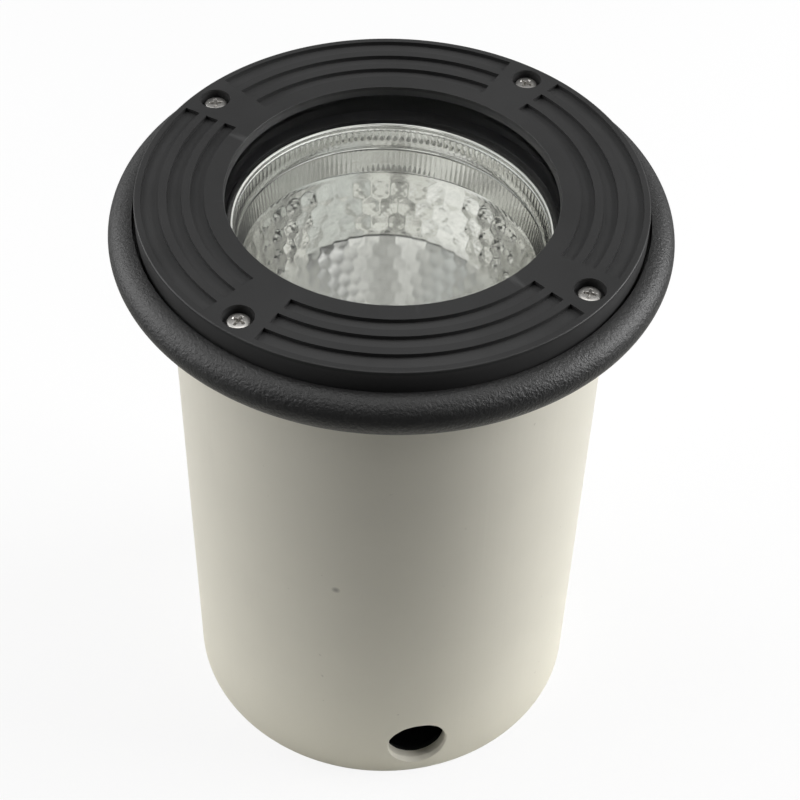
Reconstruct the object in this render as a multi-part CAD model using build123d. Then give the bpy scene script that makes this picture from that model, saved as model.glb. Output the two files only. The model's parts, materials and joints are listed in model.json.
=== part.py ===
"""In-ground well light: a PVC sleeve with a black collar, and a sealed housing that hangs in it.

The housing carries a clear glass lens under a ribbed trim ring. Under the glass a gimbal ring turns
about the vertical axis, and a lamp carrier with its facetted reflector tilts in that ring.
Millimetres, +Z up, origin at the centre of the bottom of the sleeve.
"""
import os
from math import atan2, cos, degrees, pi, radians, sin, sqrt
from build123d import *

# ---- Driving sizes -------------------------------------------------------------------------
light_height = 248.0        # ground face of the base to the top face of the trim ring

# sleeve and base cap
sleeve_radius = 80.0        # outside of the 160 mm pipe
sleeve_wall = 4.7
sleeve_end_bevel = 1.0      # bevelled end that sits in the collar's groove
cable_hole_radius = 11.75
cable_hole_height = 19.2    # centre of the hole above the bottom
cable_hole_azimuth = -87.0  # degrees from +X
cable_hole_bevel = 1.1
cap_thickness = 5.0
cap_skirt_height = 11.0
cap_skirt_wall = 2.6
drain_hole_radius = 4.5
drain_circle_radius = 50.0
drain_hole_count = 6

# collar
shelf_thickness = 8.0       # shelf that the housing's flange lies on
spigot_wall = 2.8           # spigot cemented into the top of the sleeve
spigot_depth = 12.0
sleeve_seat_depth = 1.5     # shallow groove in the collar's underside for the sleeve's end
bead_section_radius = 7.5
bead_offset = 1.3           # bead's centre beyond the recess wall
bead_drop = 15.0            # bead's centre below the trim's top face
trim_gap = 1.2              # groove between trim ring and bead

# trim ring
trim_overhang = 10.0        # trim ring beyond the sleeve
lens_cover = 11.75          # how far the lip reaches in over the glass
lip_thickness = 3.6
trim_skirt_wall = 2.5
trim_skirt_gap = 1.5        # skirt's bottom above the shelf
trim_edge_round = 1.2
rim_land = 2.4
rib_width = 3.0
channel_widths = (5.4, 5.2, 6.0)    # from the rim inwards, with a rib between each two
channel_depth = 1.6
zone_angle = 76.0           # each of the four ribbed zones
zone_count = 4

# trim screws, M4
screw_inset = 7.8           # screw circle inside the trim's radius
screw_radius = 2.0
screw_length = 16.0
screw_head_radius = 4.15
screw_head_height = 2.6
screw_head_sunk = 1.8       # top of the head below the trim's face
counterbore_radius = 5.5
screw_clearance = 0.25
thread_clearance = 0.05
cross_width = 0.9
cross_length = 4.6
cross_depth = 1.3

# lens
glass_thickness = 8.0
gasket_lip = 1.0            # silicone above and below the glass
gasket_wall = 1.15
gasket_reach = 5.4          # width of the gasket's lips

# housing
flange_thickness = 4.0
flange_rise = 3.6           # flange's top above the glass seat
seat_width = 5.8
neck_depth = 8.0
housing_wall = 3.0
housing_step = 2.0          # body's radius less than the neck's
cable_room = 41.0           # between the base cap and the housing
floor_thickness = 4.0
floor_bevel = 5.0
bore_relief = 1.0           # bore below the shoulder wider than above it

# gimbal ring
ring_wall = 5.4
ring_height = 16.0
ring_proud = 0.5            # ring's top above the reflector's rim
shoulder_width = 3.7
shoulder_thickness = 3.0
hook_height = 1.7
hook_reach = 0.6
skirt_wall = 1.8
skirt_slot_width = 3.0
skirt_slot_count = 6
bush_wall = 1.0
pivot_pin_radius = 2.0

# reflector
rim_below_seat = 6.9        # reflector's rim below the glass seat
rim_gap = 1.6               # between the rim and the gimbal ring
rim_bead_radius = 1.0
reflector_wall = 1.1
crease_depth = 9.5          # below the rim
crease_inset = 1.0
bowl_top_depth = 23.0       # where the dished lower bowl begins
bowl_top_inset = 2.6
bowl_depth = 67.5           # rim to the neck
neck_hole_radius = 20.0
neck_length = 4.0
neck_flange_width = 9.0
neck_flange_thickness = 1.0
facet_count = 30
bowl_rows = 5

# lamp carrier
pivot_below_rim = 8.0
aim_at_rest = 1.8           # degrees, +X side down
strap_width = 10.0
strap_thickness = 1.2
strap_bend = 3.0
carrier_plate_width = 64.0
carrier_plate_thickness = 1.5
foot_room = 23.0            # strap's foot above the housing's floor
strap_foot_half = 34.0
strap_step_width = 12.0
strap_rise = 42.0           # height over which the arms spread to the pivots

# lampholder and lamp
holder_radius = 23.0
holder_height = 50.0
holder_floor = 9.0
holder_bore_radius = 14.1
shell_wall = 0.6
shell_height = 26.0
lamp_cap_radius = 13.2
lamp_cap_height = 25.0
lamp_radius = 16.0
lamp_length = 100.0
lamp_contact_radius = 5.0
lamp_contact_height = 2.5

# cable gland, M20
gland_thread_radius = 10.0
gland_bore_radius = 5.0
gland_hex_across = 26.0
gland_hex_height = 6.0
gland_tail_length = 9.0
gland_nut_height = 16.0
gland_dome_height = 12.0
gland_offset = 30.0         # from the axis towards +Y
locknut_height = 4.0
oring_section = 2.0

# terminal block and earth terminal
block_length = 38.0
block_depth = 20.0
block_height = 16.0
block_shoulder = 8.0        # screw ledge at each end
block_offset = 30.0         # from the axis towards -Y
block_ways = 3
terminal_screw_radius = 2.2
small_screw_radius = 1.5
small_head_radius = 2.8
small_head_height = 2.0
reflector_screw_length = 5.0
plate_screw_length = 4.0
holder_screw_length = 8.0
earth_offset = 42.0
earth_post_height = 10.0

# clearances between pieces
seat_clearance = 0.1        # pushed together by hand
slide_clearance = 0.4       # turns or drops in freely
running_clearance = 0.05

# ---- Heights and radii that follow ---------------------------------------------------------
trim_top = light_height
lip_under = trim_top - lip_thickness
glass_top = lip_under - gasket_lip
glass_bottom = glass_top - glass_thickness
seat_z = glass_bottom - gasket_lip
flange_top = seat_z + flange_rise
shelf_z = flange_top - flange_thickness
collar_under = shelf_z - shelf_thickness
sleeve_top = collar_under + sleeve_seat_depth
bead_z = trim_top - bead_drop
housing_bottom = cap_thickness + cable_room
floor_z = housing_bottom + floor_thickness
rim_z = seat_z - rim_below_seat
ring_top = rim_z + ring_proud
shoulder_z = ring_top - ring_height
pivot_z = rim_z - pivot_below_rim
neck_z = rim_z - bowl_depth
plate_top = neck_z - neck_length
step_z = plate_top - carrier_plate_thickness
foot_top = floor_z + foot_room

trim_radius = sleeve_radius + trim_overhang
sleeve_bore = sleeve_radius - sleeve_wall
spigot_radius = sleeve_bore - seat_clearance
spigot_bore = spigot_radius - spigot_wall
neck_radius = spigot_bore - slide_clearance
recess_radius = neck_radius - seat_clearance * 2
gasket_radius = recess_radius - seat_clearance
glass_radius = gasket_radius - gasket_wall - running_clearance
opening_radius = glass_radius - lens_cover
throat_radius = recess_radius - seat_width
housing_radius = neck_radius - housing_step
housing_bore = housing_radius - housing_wall
shoulder_bore = throat_radius - shoulder_width
ring_radius = throat_radius - slide_clearance
ring_bore = ring_radius - ring_wall
rim_radius = ring_bore - rim_gap
dish_radius = rim_radius - 2 * rim_bead_radius
trim_recess_radius = trim_radius + trim_gap
flange_radius = trim_radius - trim_skirt_wall - slide_clearance
bead_centre = trim_recess_radius + bead_offset
screw_circle = trim_radius - screw_inset
strap_outer = ring_bore - 0.9
strap_inner = strap_outer - strap_thickness
lamp_tip = foot_top + holder_floor + lamp_contact_height + lamp_length


# ---- Small helpers -------------------------------------------------------------------------
def turned(*outline):
    """A solid turned about Z from an outline of (radius, height) points."""
    return revolve(Plane.XZ * make_face(Polyline(*outline, close=True)), Axis.Z)


def tube(outer, inner, low, high):
    """A plain ring between two radii and two heights."""
    return turned((inner, low), (outer, low), (outer, high), (inner, high))


def disc(radius, low, high, x=0.0, y=0.0):
    """An upright cylinder between two heights."""
    return Pos(x, y, (low + high) / 2) * Cylinder(radius, high - low)


def cross_rod(radius, start, end, z):
    """A cylinder along Y between two places."""
    return Pos(0, (start + end) / 2, z) * Rot(90, 0, 0) * Cylinder(radius, abs(end - start))


def block(size_x, size_y, low, high, x=0.0, y=0.0):
    """An upright block between two heights."""
    return Pos(x, y, (low + high) / 2) * Box(size_x, size_y, high - low)


def around(count, radius, start=0.0):
    """Places on a circle about Z."""
    return [
        (radius * cos(radians(start + turn * 360 / count)), radius * sin(radians(start + turn * 360 / count)))
        for turn in range(count)
    ]


def aimed(piece):
    """The piece tilted with the lamp carrier to its aim at rest."""
    return Pos(0, 0, pivot_z) * Rot(0, aim_at_rest, 0) * Pos(0, 0, -pivot_z) * piece


def pan_screw(x, y, under_head, length, radius, head_radius, head_height, down=True):
    """A pan-head screw, its head above under_head, or below it for a screw that points up."""
    way = 1 if down else -1
    outline = [(0, -length), (radius, -length), (radius, 0), (head_radius, 0),
               (head_radius, head_height * 0.45), (head_radius * 0.68, head_height), (0, head_height)]
    return Pos(x, y, 0) * turned(*[(r, under_head + way * z) for r, z in outline])


def cross_recess(x, y, top, turn):
    """The crossed slots cut in a screw's head."""
    slots = Box(cross_length, cross_width, 2 * cross_depth) + Box(cross_width, cross_length, 2 * cross_depth)
    return Pos(x, y, top) * Rot(0, 0, turn) * slots


# ---- Sleeve, cap and collar ----------------------------------------------------------------
def make_sleeve():
    """Off-white PVC pipe with a bevelled cable hole near its foot."""
    sleeve = turned((sleeve_bore, 0), (sleeve_radius, 0), (sleeve_radius, collar_under),
                    (sleeve_radius - sleeve_end_bevel, sleeve_top), (sleeve_bore, sleeve_top))
    to_hole = Rot(0, 0, cable_hole_azimuth) * Pos(0, 0, cable_hole_height) * Rot(0, 90, 0)
    hole = to_hole * Pos(0, 0, sleeve_radius) * Cylinder(cable_hole_radius, 4 * sleeve_wall)
    bevel_depth = 2 * cable_hole_bevel
    bevel = to_hole * Pos(0, 0, sleeve_radius) * Cone(
        cable_hole_radius - cable_hole_bevel, cable_hole_radius + cable_hole_bevel, bevel_depth
    )
    return sleeve - hole - bevel


def make_base_cap():
    """Black cap pushed into the foot of the sleeve, with drain holes and a notch at the cable hole."""
    radius = sleeve_bore - seat_clearance
    skirt = radius - cap_skirt_wall
    cap = turned((0, 0), (radius, 0), (radius, cap_skirt_height), (skirt, cap_skirt_height),
                 (skirt, cap_thickness), (0, cap_thickness))
    for x, y in around(drain_hole_count, drain_circle_radius):
        cap -= disc(drain_hole_radius, -1, cap_thickness + 1, x, y)
    notch = Rot(0, 0, cable_hole_azimuth) * Pos(radius, 0, cable_hole_height) * Rot(0, 90, 0) * Cylinder(
        cable_hole_radius + 1, 6 * cap_skirt_wall
    )
    return cap - notch


def make_collar():
    """Black collar: a round bead outside, a shelf for the housing and a spigot in the sleeve."""
    foot = bead_centre + sqrt(bead_section_radius ** 2 - (bead_z - collar_under) ** 2)
    crest = bead_z + sqrt(bead_section_radius ** 2 - bead_offset ** 2)
    spigot_end = collar_under - spigot_depth
    groove = sleeve_radius + slide_clearance
    straight = Polyline(
        (trim_recess_radius, crest), (trim_recess_radius, shelf_z), (spigot_bore, shelf_z),
        (spigot_bore, spigot_end), (spigot_radius, spigot_end), (spigot_radius, sleeve_top),
        (groove, sleeve_top), (groove, collar_under), (foot, collar_under),
    )
    bead = ThreePointArc(
        (foot, collar_under), (bead_centre + bead_section_radius, bead_z), (trim_recess_radius, crest)
    )
    collar = revolve(Plane.XZ * make_face(straight + bead), Axis.Z)
    tip = trim_screw_tip() - slide_clearance
    for x, y in around(zone_count, screw_circle, 45):
        collar -= disc(screw_radius + thread_clearance, tip, shelf_z + 1, x, y)
    return collar


# ---- Trim ring and its screws --------------------------------------------------------------
def head_seat():
    """Height of the counterbores' floor."""
    return trim_top - screw_head_sunk - screw_head_height


def trim_screw_tip():
    """Height of the trim screws' points."""
    return head_seat() - screw_length


def zone_sector(inner, outer, low, high, centre):
    """A ring sector of one ribbed zone."""
    face = Plane.XZ * make_face(Polyline((inner, low), (outer, low), (outer, high), (inner, high), close=True))
    return Rot(0, 0, centre - zone_angle / 2) * revolve(face, Axis.Z, zone_angle)


def rib(middle, centre):
    """One round-shouldered rib along a ribbed zone."""
    half = rib_width / 2
    floor = trim_top - channel_depth
    side = floor + channel_depth * 0.35
    outline = [(-half, floor - 0.5), (half, floor - 0.5), (half, side), (half * 0.5, trim_top),
               (-half * 0.5, trim_top), (-half, side)]
    face = Plane.XZ * make_face(Polyline(*[(middle + r, z) for r, z in outline], close=True))
    return Rot(0, 0, centre - zone_angle / 2) * revolve(face, Axis.Z, zone_angle)


def make_trim_ring():
    """Black trim ring with four ribbed zones and four counterbored lands between them."""
    skirt_inner = trim_radius - trim_skirt_wall
    skirt_end = shelf_z + trim_skirt_gap
    trim = turned(
        (opening_radius, lip_under), (recess_radius, lip_under), (recess_radius, flange_top),
        (skirt_inner, flange_top), (skirt_inner, skirt_end), (trim_radius, skirt_end),
        (trim_radius, trim_top), (opening_radius, trim_top),
    )
    outer_edge = trim.edges().group_by(Axis.Z)[-1].sort_by(SortBy.LENGTH)[-1]
    trim = fillet(outer_edge, trim_edge_round)
    inner_edge = trim.edges().group_by(Axis.Z)[-1].sort_by(SortBy.LENGTH)[0]
    trim = chamfer(inner_edge, trim_edge_round / 2)
    outer = trim_radius - rim_land
    inner = outer - sum(channel_widths) - rib_width * (len(channel_widths) - 1)
    for zone in range(zone_count):
        centre = zone * 360 / zone_count
        trim -= zone_sector(inner, outer, trim_top - channel_depth, trim_top + 1, centre)
        place = outer
        for width in channel_widths[:-1]:
            place -= width + rib_width
            trim += rib(place + rib_width / 2, centre)
    for x, y in around(zone_count, screw_circle, 45):
        trim -= disc(counterbore_radius, head_seat(), trim_top + 1, x, y)
        trim -= disc(screw_radius + screw_clearance, flange_top - 1, trim_top, x, y)
    return trim


def make_trim_screws():
    """Four stainless pan-head screws through trim ring and flange into the collar."""
    turns = (20, 65, 40, 5)
    screws = []
    for (x, y), turn in zip(around(zone_count, screw_circle, 45), turns):
        screw = pan_screw(x, y, head_seat(), screw_length, screw_radius, screw_head_radius, screw_head_height)
        screws.append(screw - cross_recess(x, y, head_seat() + screw_head_height, turn))
    return Compound(screws)


# ---- Housing, lens and gasket --------------------------------------------------------------
def make_housing():
    """Sealed canister with a screwed flange, a glass seat and a shoulder for the gimbal ring."""
    taper = shelf_z - neck_depth
    hook_land = shoulder_bore + hook_reach + 2 * slide_clearance
    housing = turned(
        (0, housing_bottom), (housing_radius, housing_bottom), (housing_radius, taper),
        (neck_radius, taper + housing_step), (neck_radius, shelf_z), (flange_radius, shelf_z),
        (flange_radius, flange_top), (recess_radius, flange_top), (recess_radius, seat_z),
        (throat_radius, seat_z), (throat_radius, shoulder_z), (shoulder_bore, shoulder_z),
        (shoulder_bore, shoulder_z - shoulder_thickness), (hook_land, shoulder_z - shoulder_thickness),
        (throat_radius + bore_relief, shoulder_z - shoulder_thickness - shoulder_width),
        (throat_radius + bore_relief, floor_z), (0, floor_z),
    )
    housing = chamfer(housing.edges().group_by(Axis.Z)[0], floor_bevel)
    for x, y in around(zone_count, screw_circle, 45):
        housing -= disc(screw_radius + screw_clearance, shelf_z - 1, flange_top + 1, x, y)
    hole = gland_thread_radius + running_clearance
    housing -= disc(hole, housing_bottom - 1, floor_z + 1, 0, gland_offset)
    for x in block_screw_places():
        housing += disc(small_head_radius, floor_z - 0.5, floor_z + 2, x, -block_offset)
        housing -= disc(small_screw_radius + thread_clearance, floor_z - 2, floor_z + 3, x, -block_offset)
    housing -= disc(small_screw_radius + thread_clearance, floor_z - 2, floor_z + 1, earth_offset, 0)
    return housing


def make_lens_gasket():
    """Channel-section silicone ring round the edge of the glass."""
    inner = gasket_radius - gasket_reach
    groove = glass_radius + running_clearance
    return turned(
        (inner, seat_z), (gasket_radius, seat_z), (gasket_radius, lip_under), (inner, lip_under),
        (inner, glass_top), (groove, glass_top), (groove, glass_bottom), (inner, glass_bottom),
    )


def make_lens_glass():
    """Clear toughened glass disc with ground edges."""
    glass = disc(glass_radius, glass_bottom, glass_top)
    return chamfer(glass.edges(), 0.6)


# ---- Gimbal ring ---------------------------------------------------------------------------
def make_gimbal_ring():
    """Black ring that turns on the housing's shoulder, with a slotted snap skirt under it."""
    hook_top = shoulder_z - shoulder_thickness - slide_clearance
    hook_low = hook_top - hook_height
    skirt = shoulder_bore - slide_clearance
    ring = turned(
        (ring_bore, hook_low), (skirt, hook_low), (skirt + slide_clearance + hook_reach, hook_top - 0.3),
        (skirt + slide_clearance + hook_reach, hook_top), (skirt, hook_top), (skirt, shoulder_z),
        (ring_radius, shoulder_z), (ring_radius, ring_top), (ring_bore, ring_top),
    )
    for slot in range(skirt_slot_count):
        angle = 360 / skirt_slot_count * (slot + 0.5)
        ring -= Rot(0, 0, angle) * block(
            4 * ring_wall, skirt_slot_width, hook_low - 1, shoulder_z - 1, ring_bore + ring_wall / 2
        )
    bore = pivot_pin_radius + running_clearance + bush_wall + running_clearance
    for side in (-1, 1):
        ring -= cross_rod(bore, side * (ring_bore - 2), side * (ring_radius + 2), pivot_z)
    return ring


def make_pivot_bushes():
    """Two nylon bushes pressed into the gimbal ring."""
    bore = pivot_pin_radius + running_clearance
    start = ring_bore + 0.2
    end = ring_radius - 0.3
    bushes = [
        cross_rod(bore + bush_wall, side * start, side * end, pivot_z)
        - cross_rod(bore, side * (start - 1), side * (end + 1), pivot_z)
        for side in (-1, 1)
    ]
    return Compound(bushes)


# ---- Lamp carrier --------------------------------------------------------------------------
def make_lamp_bracket():
    """U-shaped steel strap: a foot for the lampholder, two steps for the plate, two pivot ends."""
    half = strap_thickness / 2
    arm = strap_inner + half
    step = step_z - half
    foot = foot_top - half
    step_end = strap_foot_half + strap_step_width
    right = [
        (strap_foot_half, foot), (strap_foot_half, step), (step_end, step),
        (arm, step + strap_rise), (arm, pivot_z + strap_width / 2),
    ]
    left = [(-y, z) for y, z in reversed(right)]
    band = trace(FilletPolyline(*left, *right, radius=strap_bend), strap_thickness)
    strap = extrude(Plane.YZ * band, strap_width / 2, both=True)
    keep = block(strap_width, 4 * arm, foot - strap_width, pivot_z)
    keep += cross_rod(strap_width / 2, -2 * arm, 2 * arm, pivot_z)
    strap &= keep
    strap -= cross_rod(pivot_pin_radius + running_clearance, -2 * arm, 2 * arm, pivot_z)
    for y in (-1, 1):
        strap -= disc(small_screw_radius + screw_clearance, step - 3, step + 3, 0, y * plate_screw_place())
    for y in holder_screw_places():
        strap -= disc(small_screw_radius + screw_clearance, foot - 3, foot + 3, 0, y)
    return strap


def plate_screw_place():
    """Distance of the plate's screws from the axis, along Y."""
    return strap_foot_half + strap_step_width / 2


def holder_screw_places():
    """Places of the lampholder's screws along Y."""
    return (-holder_radius * 0.78, holder_radius * 0.78)


def make_pivot_pins():
    """Two steel pins riveted into the strap's ends."""
    pins = []
    for side in (-1, 1):
        pin = cross_rod(pivot_pin_radius, side * strap_inner, side * (ring_radius - 0.5), pivot_z)
        pin += cross_rod(pivot_pin_radius * 1.6, side * (strap_inner - 0.8), side * strap_inner, pivot_z)
        pins.append(pin)
    return Compound(pins)


def make_carrier_plate():
    """Steel plate under the reflector's neck."""
    length = 2 * (strap_foot_half + strap_step_width - strap_bend - strap_thickness)
    plate = block(carrier_plate_width, length, step_z, plate_top)
    plate = fillet(plate.edges().filter_by(Axis.Z), 8)
    plate -= disc(neck_hole_radius + reflector_wall, step_z - 1, plate_top + 1)
    for side in (-1, 1):
        hole = small_screw_radius + thread_clearance
        plate -= disc(hole, step_z - 1, plate_top + 1, 0, side * plate_screw_place())
        plate -= disc(hole, step_z - 1, plate_top + 1, side * flange_screw_place(), 0)
    return plate


def flange_screw_place():
    """Distance of the reflector's screws from the axis, along X."""
    return neck_hole_radius + reflector_wall + neck_flange_width / 2


def bowl_radius(z):
    """Inside radius of the dished lower bowl: a parabola from the neck to the bowl's top."""
    top = dish_radius - bowl_top_inset
    top_z = rim_z - bowl_top_depth
    slope = (top ** 2 - neck_hole_radius ** 2) / (top_z - neck_z)
    return sqrt(neck_hole_radius ** 2 + slope * (z - neck_z))


def reflector_rows():
    """Inside (radius, height) of each facet row's edge, from the rim down to the neck."""
    rows = [
        (dish_radius, rim_z - rim_bead_radius),
        (dish_radius - crease_inset, rim_z - crease_depth),
        (dish_radius - bowl_top_inset, rim_z - bowl_top_depth),
    ]
    top_z = rim_z - bowl_top_depth
    for row in range(1, bowl_rows + 1):
        z = top_z + (neck_z - top_z) * (1 - (1 - row / bowl_rows) ** 1.35)
        rows.append((bowl_radius(z), z))
    return rows


def facet_row(lower, upper):
    """The solid inside one row of flat facets, between two (radius, height) edges."""
    spread = cos(pi / facet_count) * (upper[0] - lower[0])
    height = upper[1] - lower[1]
    outline = Pos(0, 0, lower[1]) * RegularPolygon(lower[0], facet_count)
    return extrude(outline, height, taper=-degrees(atan2(spread, height)))


def make_reflector():
    """Facetted aluminium reflector with a rolled rim and a screwed neck flange."""
    rows = reflector_rows()
    wall = [(radius + reflector_wall, z) for radius, z in rows]
    flange_edge = neck_hole_radius + reflector_wall + neck_flange_width
    flange_high = plate_top + neck_flange_thickness
    shell = turned(
        (0, plate_top), (flange_edge, plate_top), (flange_edge, flange_high),
        (neck_hole_radius + reflector_wall, flange_high), *reversed(wall), (0, rim_z - rim_bead_radius),
    )
    lip_centre = rim_radius - rim_bead_radius
    lip_angles = [step * pi / 4 for step in range(-2, 3)]
    lip = [
        (lip_centre + rim_bead_radius * cos(angle), rim_z - rim_bead_radius * (1 - sin(angle)))
        for angle in lip_angles
    ]
    shell += turned((rows[0][0], rim_z - 2 * rim_bead_radius), *lip, (rows[0][0], rim_z))
    over = (rows[0][0], rim_z + 1)
    levels = [over] + rows
    for upper, lower in zip(levels, levels[1:]):
        shell -= facet_row(lower, upper)
    shell -= disc(neck_hole_radius, plate_top - 1, neck_z + 0.5)
    for side in (-1, 1):
        shell -= disc(small_screw_radius + screw_clearance, plate_top - 1, flange_high + 1,
                      side * flange_screw_place())
    return shell


def make_reflector_screws():
    """Two screws through the neck flange into the carrier plate."""
    seat = plate_top + neck_flange_thickness
    screws = [
        pan_screw(side * flange_screw_place(), 0, seat, reflector_screw_length, small_screw_radius, small_head_radius,
                  small_head_height)
        for side in (-1, 1)
    ]
    return Compound(screws)


def make_plate_screws():
    """Two screws from under the strap's steps into the carrier plate."""
    screws = [
        pan_screw(0, side * plate_screw_place(), step_z - strap_thickness, plate_screw_length, small_screw_radius,
                  small_head_radius, small_head_height, down=False)
        for side in (-1, 1)
    ]
    return Compound(screws)


# ---- Lampholder and lamp -------------------------------------------------------------------
def make_lampholder():
    """Glazed ceramic holder for an E27 lamp."""
    top = foot_top + holder_height
    body = turned(
        (0, foot_top), (holder_radius, foot_top), (holder_radius, foot_top + holder_height * 0.55),
        (holder_radius - 3, foot_top + holder_height * 0.65), (holder_radius - 3, top),
        (holder_bore_radius + 1.5, top), (holder_bore_radius, top - 1.5),
        (holder_bore_radius, foot_top + holder_floor), (0, foot_top + holder_floor),
    )
    for y in holder_screw_places():
        body -= disc(small_screw_radius + thread_clearance, foot_top - 1, foot_top + 9, 0, y)
    return body


def make_holder_shell():
    """Brass screw shell inside the lampholder."""
    outer = holder_bore_radius - running_clearance
    low = foot_top + holder_floor
    return tube(outer, outer - shell_wall, low, low + shell_height)


def make_holder_contact():
    """Brass centre contact on the lampholder's floor."""
    low = foot_top + holder_floor
    return block(2 * lamp_contact_radius, lamp_contact_radius, low, low + 1)


def make_holder_screws():
    """Two screws from under the strap's foot into the lampholder."""
    screws = [
        pan_screw(0, y, foot_top - strap_thickness, holder_screw_length, small_screw_radius, small_head_radius,
                  small_head_height, down=False)
        for y in holder_screw_places()
    ]
    return Compound(screws)


def lamp_base():
    """Height of the lamp's own contact."""
    return foot_top + holder_floor + 1


def make_lamp():
    """Frosted tubular glass envelope, closed at the tip by a dome."""
    low = lamp_base() + lamp_contact_height + lamp_cap_height - 6
    waist = foot_top + holder_height + 1
    tip = lamp_base() + lamp_length
    neck = lamp_cap_radius - 1
    shoulder = tip - lamp_radius
    sides = Polyline((0, tip), (0, low), (neck, low), (neck, waist), (lamp_radius, waist + 8),
                     (lamp_radius, shoulder))
    dome = ThreePointArc(
        (lamp_radius, shoulder), (lamp_radius * cos(pi / 4), shoulder + lamp_radius * sin(pi / 4)), (0, tip)
    )
    return revolve(Plane.XZ * make_face(sides + dome), Axis.Z)


def make_lamp_cap():
    """Nickel-plated screw cap round the foot of the envelope."""
    low = lamp_base() + lamp_contact_height
    top = low + lamp_cap_height
    glass_low = top - 6
    return turned(
        (0, low), (lamp_contact_radius + 3, low), (lamp_cap_radius, low + 4), (lamp_cap_radius, top),
        (lamp_cap_radius - 1 + running_clearance, top), (lamp_cap_radius - 1 + running_clearance, glass_low),
        (0, glass_low),
    )


def make_lamp_contact():
    """Solder contact in the black insulator under the cap."""
    low = lamp_base()
    return turned((0, low), (lamp_contact_radius - 1, low), (lamp_contact_radius, low + 1),
                  (lamp_contact_radius, low + lamp_contact_height), (0, low + lamp_contact_height))


# ---- Cable gland ---------------------------------------------------------------------------
def hexagon(across, low, high, bore):
    """A hexagon bar round the gland's axis with a round bore."""
    nut = extrude(Pos(0, gland_offset, low) * RegularPolygon(across / 2, 6, major_radius=False), high - low)
    return nut - disc(bore, low - 1, high + 1, 0, gland_offset)


def make_gland_body():
    """Black gland body through the housing's floor."""
    hex_top = housing_bottom - oring_section * 0.8
    hex_low = hex_top - gland_hex_height
    body = hexagon(gland_hex_across, hex_low, hex_top, gland_bore_radius)
    body += disc(gland_thread_radius, hex_top - 1, floor_z + locknut_height + 2, 0, gland_offset)
    body += disc(gland_thread_radius - 1, hex_low - gland_tail_length, hex_low, 0, gland_offset)
    body -= disc(gland_bore_radius, hex_low - gland_tail_length - 1, floor_z + 9, 0, gland_offset)
    seat = gland_bore_radius + 2.5
    body -= disc(seat, hex_low - gland_tail_length - 1, hex_low - 2, 0, gland_offset)
    return body


def make_gland_nut():
    """Domed compression nut on the gland's tail."""
    hex_low = housing_bottom - oring_section * 0.8 - gland_hex_height
    top = hex_low - 1.0
    low = top - gland_nut_height
    nut = extrude(
        Pos(0, gland_offset, low) * RegularPolygon(gland_hex_across / 2, 6, major_radius=False),
        gland_nut_height,
    )
    dome = Pos(0, gland_offset, 0) * turned(
        (0, low), (gland_bore_radius + 2.5, low), (gland_hex_across / 2, low + gland_dome_height / 2),
        (gland_hex_across, low + gland_dome_height), (gland_hex_across, top), (0, top),
    )
    nut &= dome
    bore = gland_thread_radius - 1 + running_clearance
    nut -= disc(bore, low + 4, top + 1, 0, gland_offset)
    nut -= disc(gland_bore_radius, low - 1, top, 0, gland_offset)
    return nut


def make_gland_seal():
    """Rubber sleeve squeezed round the cable."""
    hex_low = housing_bottom - oring_section * 0.8 - gland_hex_height
    low = hex_low - gland_tail_length + 0.5
    seal = disc(gland_bore_radius + 2.4, low, hex_low - 2.2, 0, gland_offset)
    return seal - disc(gland_bore_radius - 1, low - 1, hex_low, 0, gland_offset)


def make_gland_locknut():
    """Hexagon locknut inside the housing."""
    return hexagon(gland_hex_across, floor_z, floor_z + locknut_height, gland_thread_radius + running_clearance)


def make_gland_oring():
    """Rubber ring squeezed between the gland's hexagon and the housing's floor."""
    low = housing_bottom - oring_section * 0.8
    inner = gland_thread_radius + running_clearance
    return Pos(0, gland_offset, 0) * tube(inner + oring_section, inner, low, housing_bottom)


# ---- Terminal block and earth terminal -----------------------------------------------------
def block_screw_places():
    """Places of the terminal block's fixing screws along X."""
    return (-block_length / 2 + 4, block_length / 2 - 4)


def way_places():
    """Places of the terminal block's ways along X."""
    pitch = (block_length - 2 * block_shoulder) / block_ways
    return [pitch * (way - (block_ways - 1) / 2) for way in range(block_ways)]


def make_terminal_block():
    """Ceramic terminal block with a wire tunnel through each way."""
    low = floor_z + 2
    body = block(block_length, block_depth, low, low + block_height / 2, 0, -block_offset)
    width = block_length - 2 * block_shoulder
    body += block(width, block_depth, low + block_height / 2 - 1, low + block_height, 0, -block_offset)
    for x in way_places():
        tunnel = Pos(x, 0, low + block_height * 0.45) * Rot(90, 0, 0) * Cylinder(2.0, 6 * block_depth)
        body -= tunnel
        for side in (-1, 1):
            body -= disc(terminal_screw_radius + running_clearance, low + block_height * 0.6,
                         low + block_height + 1, x, -block_offset + side * block_depth / 4)
    for x in block_screw_places():
        body -= disc(small_screw_radius + screw_clearance, low - 1, low + block_height, x, -block_offset)
    return body


def make_terminal_screws():
    """Six clamping screws in the terminal block."""
    low = floor_z + 2 + block_height * 0.6
    screws = []
    for x in way_places():
        for side in (-1, 1):
            y = -block_offset + side * block_depth / 4
            screws.append(disc(terminal_screw_radius, low, floor_z + 1 + block_height, x, y))
    return Compound(screws)


def make_block_screws():
    """Two screws that hold the terminal block to its bosses."""
    seat = floor_z + 2 + block_height / 2
    length = block_height / 2 + 3.5
    screws = [
        pan_screw(x, -block_offset, seat, length, small_screw_radius, small_head_radius, small_head_height)
        for x in block_screw_places()
    ]
    return Compound(screws)


def make_earth_terminal():
    """Brass earth screw with its tag on the housing's floor."""
    tag = block(9, 9, floor_z, floor_z + 0.8, earth_offset)
    post = disc(small_screw_radius, floor_z - 1.8, floor_z + earth_post_height / 2, earth_offset)
    head = disc(small_head_radius, floor_z + 0.8, floor_z + 3, earth_offset)
    return tag + post + head


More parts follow.
